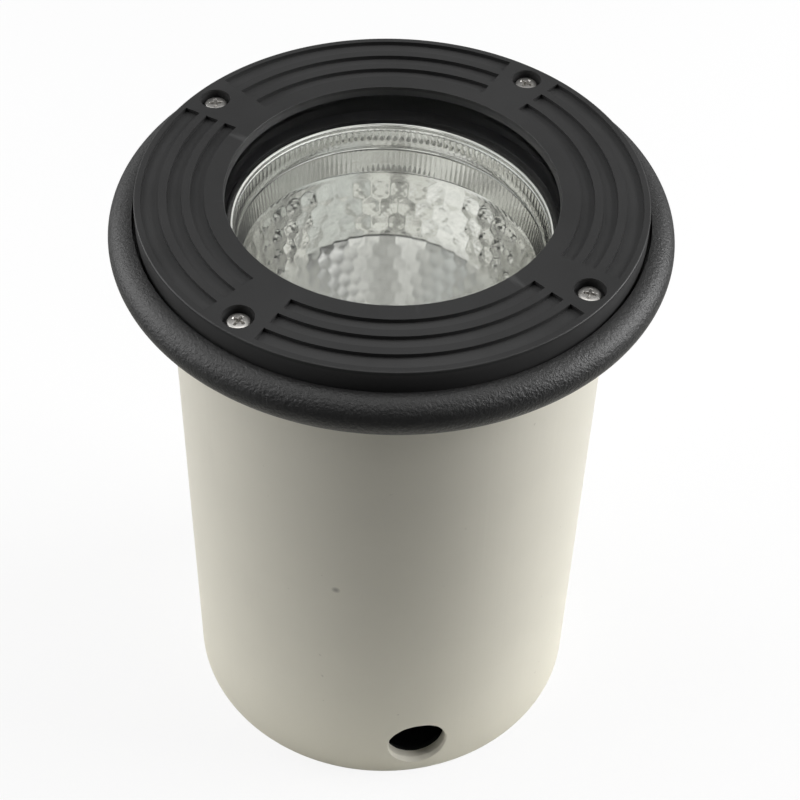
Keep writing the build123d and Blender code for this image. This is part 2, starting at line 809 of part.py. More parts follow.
# ---- Write every piece ---------------------------------------------------------------------
fixed_pieces = {
    "sleeve": make_sleeve, "base_cap": make_base_cap, "collar": make_collar, "housing": make_housing,
    "trim_ring": make_trim_ring, "trim_screws": make_trim_screws, "lens_gasket": make_lens_gasket,
    "lens_glass": make_lens_glass, "gland_body": make_gland_body, "gland_nut": make_gland_nut,
    "gland_seal": make_gland_seal, "gland_locknut": make_gland_locknut, "gland_oring": make_gland_oring,
    "terminal_block": make_terminal_block, "terminal_screws": make_terminal_screws,
    "block_screws": make_block_screws, "earth_terminal": make_earth_terminal,
    "gimbal_ring": make_gimbal_ring, "pivot_bushes": make_pivot_bushes,
}
tilting_pieces = {
    "lamp_bracket": make_lamp_bracket, "pivot_pins": make_pivot_pins, "carrier_plate": make_carrier_plate,
    "plate_screws": make_plate_screws, "reflector": make_reflector,
    "reflector_screws": make_reflector_screws, "lampholder": make_lampholder,
    "holder_shell": make_holder_shell, "holder_contact": make_holder_contact,
    "holder_screws": make_holder_screws, "lamp": make_lamp, "lamp_cap": make_lamp_cap,
    "lamp_contact": make_lamp_contact,
}

os.makedirs("parts", exist_ok=True)
for name, make in fixed_pieces.items():
    export_step(make(), f"parts/{name}.step")
for name, make in tilting_pieces.items():
    export_step(aimed(make()), f"parts/{name}.step")
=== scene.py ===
"""Dresses the in-ground well light: finishes, rounded edges, ribs, screws and the dimpled reflector.

Lengths named in millimetres are turned to metres with MM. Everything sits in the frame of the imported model:
+Z up, the ground face at zero, the cable hole towards -Y.
"""

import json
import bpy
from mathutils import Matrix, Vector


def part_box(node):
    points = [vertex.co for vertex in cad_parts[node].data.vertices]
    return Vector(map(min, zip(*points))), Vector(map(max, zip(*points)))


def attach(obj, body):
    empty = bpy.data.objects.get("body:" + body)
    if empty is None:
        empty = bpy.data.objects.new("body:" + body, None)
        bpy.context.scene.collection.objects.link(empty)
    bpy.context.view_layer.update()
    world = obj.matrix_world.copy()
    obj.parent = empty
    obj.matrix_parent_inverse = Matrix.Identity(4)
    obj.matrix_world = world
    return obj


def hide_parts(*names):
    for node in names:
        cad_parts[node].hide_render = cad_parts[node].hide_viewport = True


bl_info = {
    "name": "In-ground well light",
    "version": (1, 0, 0),
    "blender": (4, 5, 0),
    "location": "3D View > Sidebar > Well light",
    "description": "Makes the visible pieces of an in-ground well light round its packed model",
    "category": "Object",
}

from math import atan2, cos, degrees, pi, radians, sin, sqrt
from types import SimpleNamespace

import bmesh
import bpy
from bpy.props import FloatProperty, FloatVectorProperty, IntProperty, PointerProperty
from mathutils import Matrix, Vector

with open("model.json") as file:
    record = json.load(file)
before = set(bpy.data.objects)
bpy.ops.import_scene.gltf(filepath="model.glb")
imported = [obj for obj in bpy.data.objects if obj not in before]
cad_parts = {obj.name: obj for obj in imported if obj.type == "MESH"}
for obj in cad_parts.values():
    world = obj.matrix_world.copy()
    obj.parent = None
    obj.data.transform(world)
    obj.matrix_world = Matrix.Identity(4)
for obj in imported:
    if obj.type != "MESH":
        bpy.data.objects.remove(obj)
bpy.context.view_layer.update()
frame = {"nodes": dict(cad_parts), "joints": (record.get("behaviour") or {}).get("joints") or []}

MM = 0.001
FULL_TURN = 2 * pi

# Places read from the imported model, in millimetres
sleeve_low, sleeve_high = (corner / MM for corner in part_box("sleeve"))
collar_low, collar_high = (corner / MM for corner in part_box("collar"))
trim_low, trim_high = (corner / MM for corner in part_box("trim_ring"))
_, glass_high = (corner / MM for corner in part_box("lens_glass"))
screws_low, screws_high = (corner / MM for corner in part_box("trim_screws"))
tilt_joint = next(joint for joint in frame["joints"] if joint["name"] == "tilt")
PIVOT_HEIGHT = tilt_joint["pos_m"][2] / MM
TRIM_TOP = trim_high.z


# ---- Sizes and colours that a user may change ----
def length(name, text, millimetres):
    """A length, kept in metres as Blender does, with its default given in millimetres."""
    return FloatProperty(name=name, description=text, default=millimetres * MM, min=0.0, precision=5,
                         unit="LENGTH", subtype="DISTANCE")


def rotation(name, text, default):
    """An angle, kept in radians as Blender does, with its default given in degrees."""
    return FloatProperty(name=name, description=text, default=radians(default), subtype="ANGLE", unit="ROTATION")


def ratio(name, text, default):
    """A plain number."""
    return FloatProperty(name=name, description=text, default=default)


def count(name, text, default, least=3):
    """A whole number, not under the least that makes sense."""
    return IntProperty(name=name, description=text, default=default, min=least)


def colour(name, text, default):
    """A linear colour."""
    return FloatVectorProperty(name=name, description=text, default=default, size=3, subtype="COLOR",
                               min=0.0, max=1.0)


class SleeveSettings(bpy.types.PropertyGroup):
    """Pipe sleeve and its cable hole."""
    wall: length("Wall", "Wall of the pipe", 4.7)
    hole_radius: length("Cable hole radius", "Radius of the cable hole", 11.75)
    hole_height: length("Cable hole height", "Centre of the cable hole above the bottom", 19.2)
    hole_azimuth: rotation("Cable hole direction", "Direction of the cable hole from +X", -87)
    hole_bevel: length("Cable hole bevel", "Width of the bevel round the cable hole", 1.1)
    shade: colour("PVC colour", "Off-white of the pipe", (0.82, 0.79, 0.69))


class CollarSettings(bpy.types.PropertyGroup):
    """Beaded collar."""
    bead_radius: length("Bead section", "Radius of the bead's section", 7.5)
    bead_drop: length("Bead drop", "Bead's centre below the trim's face", 15.0)
    recess_radius: length("Recess radius", "Radius of the recess that takes the trim ring", 91.2)
    shade: colour("Collar colour", "Black of the moulded collar", (0.019, 0.019, 0.019))


class TrimSettings(bpy.types.PropertyGroup):
    """Ribbed trim ring and its screws."""
    opening_radius: length("Opening radius", "Radius of the opening over the glass", 58.75)
    lip: length("Lip", "Thickness of the lip over the glass", 3.6)
    pocket_inner: length("Pocket inner radius", "Inner edge of the ribbed zones", 65.7)
    pocket_outer: length("Pocket outer radius", "Outer edge of the ribbed zones", 87.6)
    pocket_depth: length("Pocket depth", "Depth of the channels", 1.6)
    inner_rib: length("Inner rib radius", "Middle of the inner rib", 72.0)
    outer_rib: length("Outer rib radius", "Middle of the outer rib", 80.1)
    rib_width: length("Rib width", "Width of each rib", 3.0)
    zone_angle: rotation("Zone angle", "Angle that each ribbed zone spans", 76)
    zones: count("Zones", "Number of ribbed zones and of screws", 4, 1)
    screw_circle: length("Screw circle", "Radius of the circle that the screws stand on", 82.2)
    counterbore: length("Counterbore radius", "Radius of the holes for the screw heads", 5.5)
    head_radius: length("Head radius", "Radius of the screw heads", 4.15)
    head_height: length("Head height", "Height of the screw heads", 2.6)
    shade: colour("Trim colour", "Satin black of the trim ring", (0.034, 0.034, 0.034))


class ReflectorSettings(bpy.types.PropertyGroup):
    """Dimpled and fluted reflector."""
    rim_radius: length("Rim radius", "Outer radius of the rolled rim", 58.6)
    rim_over_pivot: length("Rim over pivot", "Height of the rim's plane over the pivots", 8.0)
    lip_radius: length("Lip radius", "Radius of the rolled lip's section", 1.2)
    wall: length("Wall", "Wall of the reflector", 1.0)
    depth: length("Depth", "Rim to neck", 67.5)
    crease_depth: length("Crease depth", "Depth of the crease line between the bands", 9.5)
    crease_radius: length("Crease radius", "Radius of the wall at the crease line", 55.6)
    bowl_top: length("Bowl top", "Depth at which the dished bowl starts", 19.5)
    bowl_radius: length("Bowl radius", "Radius at the bowl's top", 54.4)
    knee_depth: length("Knee depth", "Depth at which the steep wall turns into the dished bottom", 44.0)
    knee_radius: length("Knee radius", "Radius at the knee", 44.9)
    upper_slope: ratio("Upper slope", "Lean of the wall just over the knee", 0.56)
    lower_slope: ratio("Lower slope", "Lean of the bottom just under the knee", 0.87)
    neck_radius: length("Neck radius", "Radius of the hole for the lamp", 20.0)
    aim: rotation("Aim at rest", "Tilt of the optic at rest, +X side down", 1.8)
    blocks: count("Blocks", "Lens blocks round the rim", 144)
    block: length("Block height", "How far a lens block stands from the wall", 0.18)
    flutes: count("Flutes", "Fine flutes round the upper band", 180)
    flute: length("Flute height", "How far a flute stands from the wall", 0.07)
    columns: count("Dimple columns", "Dimples in one row round the bowl", 45)
    dimple: length("Dimple height", "How far a dimple of the top row stands from the bowl", 0.30)
    first_row: ratio("First row", "Way to the first row, in bowl radii", 0.151)
    row_step: ratio("Row step", "Way from row to row, in bowl radii", 0.131)
    column_shift: ratio("Column shift", "Turn of the dimples, in columns", 0.775)


class StageSettings(bpy.types.PropertyGroup):
    """Floor, lamps and camera."""
    focal_length: length("Focal length", "Camera's focal length on a 36 mm sensor", 80.8)
    elevation: rotation("Elevation", "Camera's angle over the horizon", 46.36)
    roll: rotation("Roll", "Camera's roll", -1.84)
    turn: rotation("Turn", "Turn of the camera round the light", -9)


def settings(group):
    """The values of one settings group, with its lengths in millimetres and its colours as tuples."""
    values = getattr(bpy.context.scene, group)
    found = {}
    for name, entry in values.bl_rna.properties.items():
        value = getattr(values, name)
        if getattr(entry, "unit", "NONE") == "LENGTH":
            value /= MM
        elif getattr(entry, "subtype", "NONE") == "COLOR":
            value = tuple(value)
        found[name] = value
    return SimpleNamespace(**found)


# ---- Node trees ----
class Term:
    """A number or vector that flows through a node tree. Sums and products of terms add Math nodes."""

    def __init__(self, tree, socket):
        self.tree = tree
        self.socket = socket

    def __add__(self, other):
        return math_node(self.tree, "ADD", self, other)

    def __sub__(self, other):
        return math_node(self.tree, "SUBTRACT", self, other)

    def __mul__(self, other):
        return math_node(self.tree, "MULTIPLY", self, other)

    def __truediv__(self, other):
        return math_node(self.tree, "DIVIDE", self, other)

    def __rsub__(self, other):
        return math_node(self.tree, "SUBTRACT", other, self)

    def __rtruediv__(self, other):
        return math_node(self.tree, "DIVIDE", other, self)

    __radd__ = __add__
    __rmul__ = __mul__

    def apply(self, operation, *others):
        """Any other operation of the Math node."""
        return math_node(self.tree, operation, self, *others)

    def ramp(self, start, end):
        """0 before start, 1 after end, straight between them."""
        node = add_node(self.tree, "ShaderNodeMapRange", {"Value": self, "From Min": start, "From Max": end},
                        clamp=True)
        return Term(self.tree, node.outputs["Result"])


def add_node(tree, kind, inputs=None, **values):
    """A new node. Inputs are given by name or number, as a plain value, a socket, a term or another node."""
    node = tree.nodes.new(kind)
    for name, value in values.items():
        setattr(node, name, value)
    fill(tree, node, inputs or {})
    return node


def fill(tree, node, inputs):
    """Feeds a node's inputs, given by name or number."""
    for name, value in inputs.items():
        feed(tree, node.inputs[name], value)


def feed(tree, socket, value):
    """Links a socket, a term or a node's first output to an input, or sets the input's own value."""
    if isinstance(value, bpy.types.Node):
        value = value.outputs[0]
    elif isinstance(value, Term):
        value = value.socket
    if isinstance(value, bpy.types.NodeSocket):
        tree.links.new(value, socket)
    else:
        socket.default_value = value


def math_node(tree, operation, *values):
    """The result of one Math node."""
    node = add_node(tree, "ShaderNodeMath", dict(enumerate(values)), operation=operation)
    return Term(tree, node.outputs[0])


def split(tree, place):
    """The three parts of a vector."""
    return [Term(tree, part) for part in add_node(tree, "ShaderNodeSeparateXYZ", {0: place}).outputs]


def upright(tree, height):
    """A vector along Z."""
    return add_node(tree, "ShaderNodeCombineXYZ", {2: height})


# ---- Materials ----
def new_material(name):
    """An empty node material with its Principled shader and Object coordinates."""
    made = bpy.data.materials.new(name)
    made.use_nodes = True
    tree = made.node_tree
    shader = tree.nodes["Principled BSDF"]
    place = add_node(tree, "ShaderNodeTexCoord").outputs["Object"]
    return made, tree, shader, place


def noise(tree, place, scale, detail=3.0, roughness=0.5, stretch=(1, 1, 1)):
    """A noise between 0 and 1 with features about 1 / scale metres wide."""
    mapping = add_node(tree, "ShaderNodeMapping", {"Vector": place, "Scale": stretch})
    node = add_node(tree, "ShaderNodeTexNoise", {
        "Vector": mapping, "Scale": scale, "Detail": detail, "Roughness": roughness})
    return Term(tree, node.outputs["Fac"])


def blend_colours(tree, factor, low, high):
    """A colour between two, by a factor."""
    low, high = ((*tone, 1) if isinstance(tone, tuple) else tone for tone in (low, high))
    node = add_node(tree, "ShaderNodeMix", {"Factor": factor, 6: low, 7: high}, data_type="RGBA")
    return node.outputs[2]


def bump(tree, height, depth):
    """A bump of a real depth in metres."""
    return add_node(tree, "ShaderNodeBump", {"Distance": depth, "Height": height})


def scaled(shade, factor):
    """A colour made lighter or darker."""
    return tuple(min(1.0, channel * factor) for channel in shade)


def grey(level):
    """A neutral colour."""
    return (level, level, level)


def painted_edge_highlight(tree):
    """1 on convex edges, 0 elsewhere: the mask for a painted highlight along them."""
    geometry = add_node(tree, "ShaderNodeNewGeometry")
    return Term(tree, geometry.outputs["Pointiness"]).ramp(0.56, 0.66)


def pvc_material(shade):
    """Off-white pipe: fine die lines, faint mottling, a few dark specks and rubbed marks."""
    made, tree, shader, place = new_material("pvc_pipe")
    mottle = noise(tree, place, 22, 5, 0.55)
    drawn = noise(tree, place, 260, 2, 0.5, (1, 1, 0.02))
    specks = noise(tree, place, 420, 1, 0.4).ramp(0.80, 0.83)
    rubs = noise(tree, place, 60, 4, 0.6, (1, 1, 0.25)).ramp(0.62, 0.75)
    tone = blend_colours(tree, mottle.ramp(0.35, 0.7), scaled(shade, 0.965), shade)
    tone = blend_colours(tree, rubs * 0.10, tone, scaled(shade, 0.80))
    tone = blend_colours(tree, specks * 0.25, tone, (0.30, 0.27, 0.22))
    tone = blend_colours(tree, dark_speck(tree, place) * 0.55, tone, (0.12, 0.11, 0.09))
    fill(tree, shader, {
        "Base Color": tone, "Roughness": mottle.ramp(0.2, 0.8) * 0.10 + 0.36, "IOR": 1.53,
        "Normal": bump(tree, drawn * 0.6 + mottle * 0.4, 0.00008)})
    return made


SPECK = (-111.0, 120.6, 1.9)     # direction in degrees, then height and radius in millimetres


def dark_speck(tree, place):
    """The one larger speck on the sleeve, darkest at its middle."""
    azimuth, height, size = SPECK
    radius = sleeve_high.x
    spot = Vector((radius * cos(radians(azimuth)), radius * sin(radians(azimuth)), height)) * MM
    gap = add_node(tree, "ShaderNodeVectorMath", {0: place, 1: spot}, operation="DISTANCE")
    return 1 - Term(tree, gap.outputs["Value"]).ramp(size * MM * 0.25, size * MM)


def moulded_black(name, shade, grain, depth, roughness, sheen_spread=0.08, gloss=0.3, painted_light_top=None):
    """Black moulded plastic or coated metal with a fine grain, a painted highlight on convex edges, and painted light
    that lightens the faces below a height in millimetres.
    """
    made, tree, shader, place = new_material(name)
    fine = noise(tree, place, grain, 4, 0.6)
    broad = noise(tree, place, 30, 3, 0.5)
    highlit_edges = painted_edge_highlight(tree)
    tone = blend_colours(tree, broad.ramp(0.3, 0.7), scaled(shade, 0.88), scaled(shade, 1.12))
    tone = blend_colours(tree, fine.ramp(0.55, 0.8) * 0.35, tone, scaled(shade, 1.9))
    # Painted highlight: convex edges lightened as if they caught the light.
    tone = blend_colours(tree, highlit_edges * 0.5, tone, scaled(shade, 2.6))
    # Painted light: faces below the height lightened to offset the shade that falls in recesses such as the trim's
    # channels.
    if painted_light_top is not None:
        painted_floor_light = 1 - split(tree, place)[2].ramp((painted_light_top - 0.3) * MM, painted_light_top * MM)
        tone = blend_colours(tree, painted_floor_light * broad.ramp(0.1, 0.5), tone, scaled(shade, 1.55))
    fill(tree, shader, {
        "Base Color": tone, "Roughness": fine * sheen_spread + (roughness - sheen_spread / 2),
        "Specular IOR Level": gloss, "Normal": bump(tree, fine, depth)})
    return made


def metal(name, shade, roughness, grain=900, depth=0.00001):
    """Bare or plated metal with fine tool marks."""
    made, tree, shader, place = new_material(name)
    marks = noise(tree, place, grain, 3, 0.6)
    broad = noise(tree, place, 40, 3, 0.5)
    tone = blend_colours(tree, broad.ramp(0.3, 0.7), scaled(shade, 0.9), shade)
    fill(tree, shader, {
        "Base Color": tone, "Roughness": marks * 0.12 + (roughness - 0.06), "Metallic": 1.0,
        "Normal": bump(tree, marks, depth)})
    return made


MATT_DEPTHS = (33, 40)     # below the pivots, in millimetres, where the bowl's polish ends


def mirror_material():
    """Bright anodised aluminium, slightly hazy, and almost matt deep in the bowl."""
    made, tree, shader, place = new_material("bright_aluminium")
    haze = noise(tree, place, 140, 4, 0.6)
    ripple = noise(tree, place, 300, 2, 0.5, (1, 1, 0.35))
    tone = blend_colours(tree, haze.ramp(0.3, 0.7), (0.80, 0.80, 0.77), (0.87, 0.87, 0.845))
    polish_end, matt_start = (PIVOT_HEIGHT - depth for depth in MATT_DEPTHS)
    deep = 1 - split(tree, place)[2].ramp(matt_start * MM, polish_end * MM)
    fill(tree, shader, {
        "Base Color": tone, "Roughness": haze * 0.04 + deep * 0.20 + 0.045, "Metallic": 1.0,
        "Normal": bump(tree, ripple, 0.000004)})
    return made


def clear_glass():
    """Clear toughened glass with the faintest unevenness in its polish."""
    made, tree, shader, place = new_material("clear_glass")
    polish = noise(tree, place, 25, 2, 0.5)
    tone = blend_colours(tree, polish, (0.985, 0.995, 0.990), (0.995, 1.0, 0.997))
    fill(tree, shader, {"Base Color": tone, "Roughness": polish * 0.004, "Transmission Weight": 1.0, "IOR": 1.5})
    return made


def frosted_glass():
    """Frosted lamp envelope."""
    made, tree, shader, place = new_material("frosted_glass")
    frost = noise(tree, place, 1500, 3, 0.6)
    fill(tree, shader, {
        "Base Color": blend_colours(tree, frost, (0.80, 0.80, 0.78), (0.88, 0.88, 0.86)),
        "Roughness": frost * 0.2 + 0.4, "Transmission Weight": 0.25, "Normal": bump(tree, frost, 0.00002)})
    return made


def glazed(name, shade):
    """Glazed ceramic or plain nylon, smooth with a faint cloud."""
    made, tree, shader, place = new_material(name)
    cloud = noise(tree, place, 90, 3, 0.5)
    fill(tree, shader, {
        "Base Color": blend_colours(tree, cloud.ramp(0.3, 0.7), scaled(shade, 0.93), shade),
        "Roughness": cloud * 0.12 + 0.14, "Normal": bump(tree, cloud, 0.0001)})
    return made


# ---- Meshes ----
def store(name, mesh):
    """Turns a bmesh into an object at the origin."""
    data = bpy.data.meshes.new(name)
    mesh.to_mesh(data)
    mesh.free()
    piece = bpy.data.objects.new(name, data)
    bpy.context.scene.collection.objects.link(piece)
    return piece


def lathe(name, outline, steps):
    """A closed solid turned about Z from a closed outline of (radius, height) points in millimetres."""
    mesh = bmesh.new()
    rings = []
    for radius, height in outline:
        places = 1 if radius < 1e-6 else steps
        angles = [FULL_TURN * step / steps for step in range(places)]
        rings.append([
            mesh.verts.new((radius * cos(angle) * MM, radius * sin(angle) * MM, height * MM)) for angle in angles
        ])
    for lower, upper in zip(rings, rings[1:] + rings[:1]):
        for step in range(steps):
            following = (step + 1) % steps
            corners = [lower[step % len(lower)], lower[following % len(lower)],
                       upper[following % len(upper)], upper[step % len(upper)]]
            corners = list(dict.fromkeys(corners))
            if len(corners) > 2:
                mesh.faces.new(corners)
    bmesh.ops.recalc_face_normals(mesh, faces=mesh.faces)
    return store(name, mesh)


def arc(centre, radius, start, end, steps):
    """Points on an arc of an outline, from one angle to another in degrees."""
    angles = [radians(start + (end - start) * step / steps) for step in range(steps + 1)]
    return [(centre[0] + radius * cos(angle), centre[1] + radius * sin(angle)) for angle in angles]


def settle(piece):
    """Applies every modifier of a piece to its mesh."""
    graph = bpy.context.evaluated_depsgraph_get()
    graph.update()
    made = bpy.data.meshes.new_from_object(piece.evaluated_get(graph), preserve_all_data_layers=True,
                                           depsgraph=graph)
    piece.modifiers.clear()
    old = piece.data
    piece.data = made
    made.name = piece.name
    bpy.data.meshes.remove(old)
    return piece


def cut_out(piece, cutter):
    """Cuts another solid from a piece, and drops it."""
    cut = piece.modifiers.new("cut_out", "BOOLEAN")
    cut.operation = "DIFFERENCE"
    cut.solver = "EXACT"
    cut.object = cutter
    settle(piece)
    bpy.data.objects.remove(cutter)


def smooth(piece, angle, level_flat=False):
    """Smooth shading, with edges sharper than the angle kept, and level faces left flat where asked."""
    mesh = bmesh.new()
    mesh.from_mesh(piece.data)
    bmesh.ops.remove_doubles(mesh, verts=mesh.verts, dist=1e-7)
    for face in mesh.faces:
        face.smooth = not (level_flat and abs(face.normal.z) > 0.9995)
    for edge in mesh.edges:
        edge.smooth = not (len(edge.link_faces) == 2 and edge.calc_face_angle() > radians(angle))
    mesh.to_mesh(piece.data)
    mesh.free()


def soften(piece, width, steps=3, angle=35.0):
    """Rounds every sharp edge, by a width in millimetres where there is room, and keeps flat faces flat."""
    bevel = piece.modifiers.new("soften", "BEVEL")
    bevel.width = width * MM
    bevel.segments = steps
    bevel.limit_method = "ANGLE"
    bevel.angle_limit = radians(angle)
    bevel.use_clamp_overlap = True
    settle(piece)
    smooth(piece, 50, level_flat=True)
    weigh = piece.modifiers.new("weigh", "WEIGHTED_NORMAL")
    weigh.keep_sharp = True
    return settle(piece)


def finish_piece(piece, body, material, nodes):
    """Gives a piece its material and its body, and hides the nodes it stands for."""
    piece.data.materials.clear()
    piece.data.materials.append(material)
    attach(piece, body)
    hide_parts(*nodes)


def sized(given, names, unit=1.0):
    """Inputs of a tree, labelled after the settings that they come from."""
    return {name.replace("_", " ").capitalize(): getattr(given, name) * unit for name in names.split()}


def geometry_tree(name, sizes):
    """A Geometry Nodes tree with a geometry output and one named input for each size."""
    tree = bpy.data.node_groups.new(name, "GeometryNodeTree")
    tree.interface.new_socket(name="Geometry", in_out="OUTPUT", socket_type="NodeSocketGeometry")
    kinds = {int: "NodeSocketInt", float: "NodeSocketFloat"}
    for label, value in sizes.items():
        kind = kinds.get(type(value), "NodeSocketObject")
        if isinstance(value, bpy.types.Material):
            kind = "NodeSocketMaterial"
        tree.interface.new_socket(name=label, in_out="INPUT", socket_type=kind)
    inputs = tree.nodes.new("NodeGroupInput")
    output = tree.nodes.new("NodeGroupOutput")
    given = {label: Term(tree, inputs.outputs[label]) for label in sizes}
    return tree, given, output


def grow(name, tree, sizes):
    """Runs a Geometry Nodes tree on an empty mesh object and keeps the result as a plain mesh."""
    piece = store(name, bmesh.new())
    modifier = piece.modifiers.new(name, "NODES")
    modifier.node_group = tree
    for item in tree.interface.items_tree:
        if item.in_out == "INPUT" and item.name in sizes:
            modifier[item.identifier] = sizes[item.name]
    return settle(piece)


def end_tree(tree, output, geometry, material):
    """Ends a tree in Realize Instances and Set Material."""
    real = add_node(tree, "GeometryNodeRealizeInstances", {0: geometry})
    dressed = add_node(tree, "GeometryNodeSetMaterial", {"Geometry": real, "Material": material})
    feed(tree, output.inputs[0], dressed)


# ---- Sleeve and collar ----
class WELLLIGHT_OT_sleeve(bpy.types.Operator):
    """Makes the pipe sleeve with its bevelled cable hole"""
    bl_idname = "welllight.sleeve"
    bl_label = "Sleeve"

    def execute(self, context):
        given = settings("well_sleeve")
        outer = sleeve_high.x
        inner = outer - given.wall
        low, high = sleeve_low.z, sleeve_high.z
        hole_band = given.hole_height + given.hole_radius + 4
        outline = [
            (inner, low + 0.8), (inner + 0.8, low), (outer - 0.9, low), (outer - 0.25, low + 0.25),
            (outer, low + 0.9), (outer, hole_band), (outer, high), (inner, high), (inner, hole_band),
        ]
        piece = lathe("pipe_sleeve", outline, 240)
        radius, flare = given.hole_radius, given.hole_bevel
        mouth = radius + 1.8 * flare
        cutter = lathe("hole_cutter", [
            (0, inner - 10), (radius, inner - 10), (radius, outer - 1.3 * flare - 0.3),
            (mouth, outer + 0.6 * flare), (mouth, outer + 8), (0, outer + 8),
        ], 96)
        roughen_hole(cutter, outer - 2)
        to_hole = (Matrix.Rotation(given.hole_azimuth, 4, "Z") @ Matrix.Translation((0, 0, given.hole_height * MM))
                   @ Matrix.Rotation(pi / 2, 4, "Y"))
        cutter.data.transform(to_hole)
        cut_out(piece, cutter)
        smooth(piece, 30)
        finish_piece(piece, "root", pvc_material(given.shade), ["sleeve"])
        return {"FINISHED"}


def roughen_hole(cutter, from_height):
    """Makes the flare of the cable hole a little uneven, as a hand deburring tool leaves it."""
    for vertex in cutter.data.vertices:
        if vertex.co.z > from_height * MM and vertex.co.xy.length > 0.001:
            angle = atan2(vertex.co.y, vertex.co.x)
            wander = 0.10 * sin(3 * angle + 0.6) + 0.07 * sin(7 * angle + 2.0) + 0.05 * sin(16 * angle)
            vertex.co.xy *= 1 + wander * MM / vertex.co.xy.length


# The collar's inner steps, in millimetres: heights, then radii
UNDERSIDE, SHELF = 226.0, 234.0
SPIGOT_BORE, SPIGOT_RADIUS = 72.4, 75.2


class WELLLIGHT_OT_collar(bpy.types.Operator):
    """Makes the collar with its round, grainy bead"""
    bl_idname = "welllight.collar"
    bl_label = "Collar"

    def execute(self, context):
        given = settings("well_collar")
        radius, recess = given.bead_radius, given.recess_radius
        centre = (collar_high.x - radius, TRIM_TOP - given.bead_drop)
        over_foot, past_recess = centre[1] - UNDERSIDE, centre[0] - recess
        foot_angle = -degrees(atan2(over_foot, sqrt(radius ** 2 - over_foot ** 2)))
        crest_angle = 180 - degrees(atan2(sqrt(radius ** 2 - past_recess ** 2), past_recess))
        groove = sleeve_high.x + 0.4
        outline = [
            *arc(centre, radius, foot_angle, crest_angle, 40), (recess, SHELF), (SPIGOT_BORE, SHELF),
            (SPIGOT_BORE, collar_low.z), (SPIGOT_RADIUS, collar_low.z), (SPIGOT_RADIUS, sleeve_high.z),
            (groove, sleeve_high.z), (groove, UNDERSIDE),
        ]
        piece = lathe("beaded_collar", outline, 256)
        smooth(piece, 30)
        material = moulded_black("grained_black", given.shade, 900, 0.0004, 0.42, 0.20, 0.52)
        finish_piece(piece, "root", material, ["collar"])
        return {"FINISHED"}


# ---- Trim ring ----
class WELLLIGHT_OT_trim_ring(bpy.types.Operator):
    """Makes the trim ring with its sunk zones, counterbores and rounded edges"""
    bl_idname = "welllight.trim_ring"
    bl_label = "Trim ring"

    def execute(self, context):
        given = settings("well_trim")
        outer, top, low = trim_high.x, trim_high.z, trim_low.z
        opening, lip = given.opening_radius, top - given.lip
        step, corner = 0.22, 0.55
        recess, flange_top, skirt = glass_high.x + 1.3, lip - 6.4, outer - 2.5
        outline = [
            (opening, lip), (opening, top - 1.5), (opening + step, top - 1.3), (opening + step, top - step),
            *arc((opening + 2 * step, top - step), step, 180, 90, 3)[1:],
            *arc((outer - corner, top - corner), corner, 90, 0, 5),
            (outer, low), (skirt, low), (skirt, flange_top), (recess, flange_top), (recess, lip),
        ]
        piece = lathe("ribbed_trim_ring", outline, 360)
        smooth(piece, 32)
        floor = top - given.pocket_depth
        cut_out(piece, channel_cutter(given, floor))
        seat, shank_hole = screws_high.z - given.head_height, 2.25
        for number in range(given.zones):
            angle = FULL_TURN * (number + 0.5) / given.zones
            hole = lathe("counterbore", [
                (0, low - 2), (shank_hole, low - 2), (shank_hole, seat), (given.counterbore, seat),
                (given.counterbore, top + 2), (0, top + 2),
            ], 64)
            away = given.screw_circle * MM
            hole.data.transform(Matrix.Translation((away * cos(angle), away * sin(angle), 0)))
            cut_out(piece, hole)
        soften(piece, 0.42)
        # The channel floors get painted light, lightened against the shade in the channels.
        material = moulded_black("satin_black", given.shade, 2600, 0.00002, 0.40, 0.06, painted_light_top=floor + 0.5)
        finish_piece(piece, "root", material, ["trim_ring"])
        return {"FINISHED"}


CUT_HEIGHT = 6.0        # from a channel's floor to well over the trim's face, in millimetres
CHANNEL_STEPS = 77      # points along each channel


def channel_cutter(given, floor):
    """The channels on both sides of the ribs in every sunk zone, grown as one cutter with Geometry Nodes."""
    sizes = {
        **sized(given, "pocket_inner pocket_outer inner_rib outer_rib rib_width", MM), "Zones": given.zones,
        "Zone angle": given.zone_angle, "Floor height": floor * MM, "Cut height": CUT_HEIGHT * MM,
        "Finish": bpy.data.materials.new("cutter"),
    }
    tree, inputs, output = geometry_tree("trim_channels", sizes)
    channels = add_node(tree, "GeometryNodeJoinGeometry")
    half_rib = inputs["Rib width"] * 0.5
    walls = (
        (inputs["Pocket inner"], inputs["Inner rib"] - half_rib),
        (inputs["Inner rib"] + half_rib, inputs["Outer rib"] - half_rib),
        (inputs["Outer rib"] + half_rib, inputs["Pocket outer"]),
    )
    for inner, outer in walls:
        section = add_node(tree, "GeometryNodeCurvePrimitiveQuadrilateral", {
            "Width": outer - inner, "Height": inputs["Cut height"]})
        path = add_node(tree, "GeometryNodeCurveArc", {
            "Resolution": CHANNEL_STEPS, "Radius": (inner + outer) * 0.5,
            "Start Angle": inputs["Zone angle"] * -0.5, "Sweep Angle": inputs["Zone angle"]})
        solid = add_node(tree, "GeometryNodeCurveToMesh", {
            "Curve": path, "Profile Curve": section, "Fill Caps": True})
        feed(tree, channels.inputs[0], solid)
    middle = inputs["Floor height"] + inputs["Cut height"] * 0.5
    raised = add_node(tree, "GeometryNodeTransform", {"Geometry": channels, "Translation": upright(tree, middle)})
    points = add_node(tree, "GeometryNodePoints", {"Count": inputs["Zones"]})
    index = Term(tree, add_node(tree, "GeometryNodeInputIndex").outputs[0])
    spin = upright(tree, index * FULL_TURN / inputs["Zones"])
    spread = add_node(tree, "GeometryNodeInstanceOnPoints", {"Points": points, "Instance": raised, "Rotation": spin})
    end_tree(tree, output, spread, inputs["Finish"])
    cutter = grow("channel_cutter", tree, sizes)
    face_outwards(cutter)
    return cutter


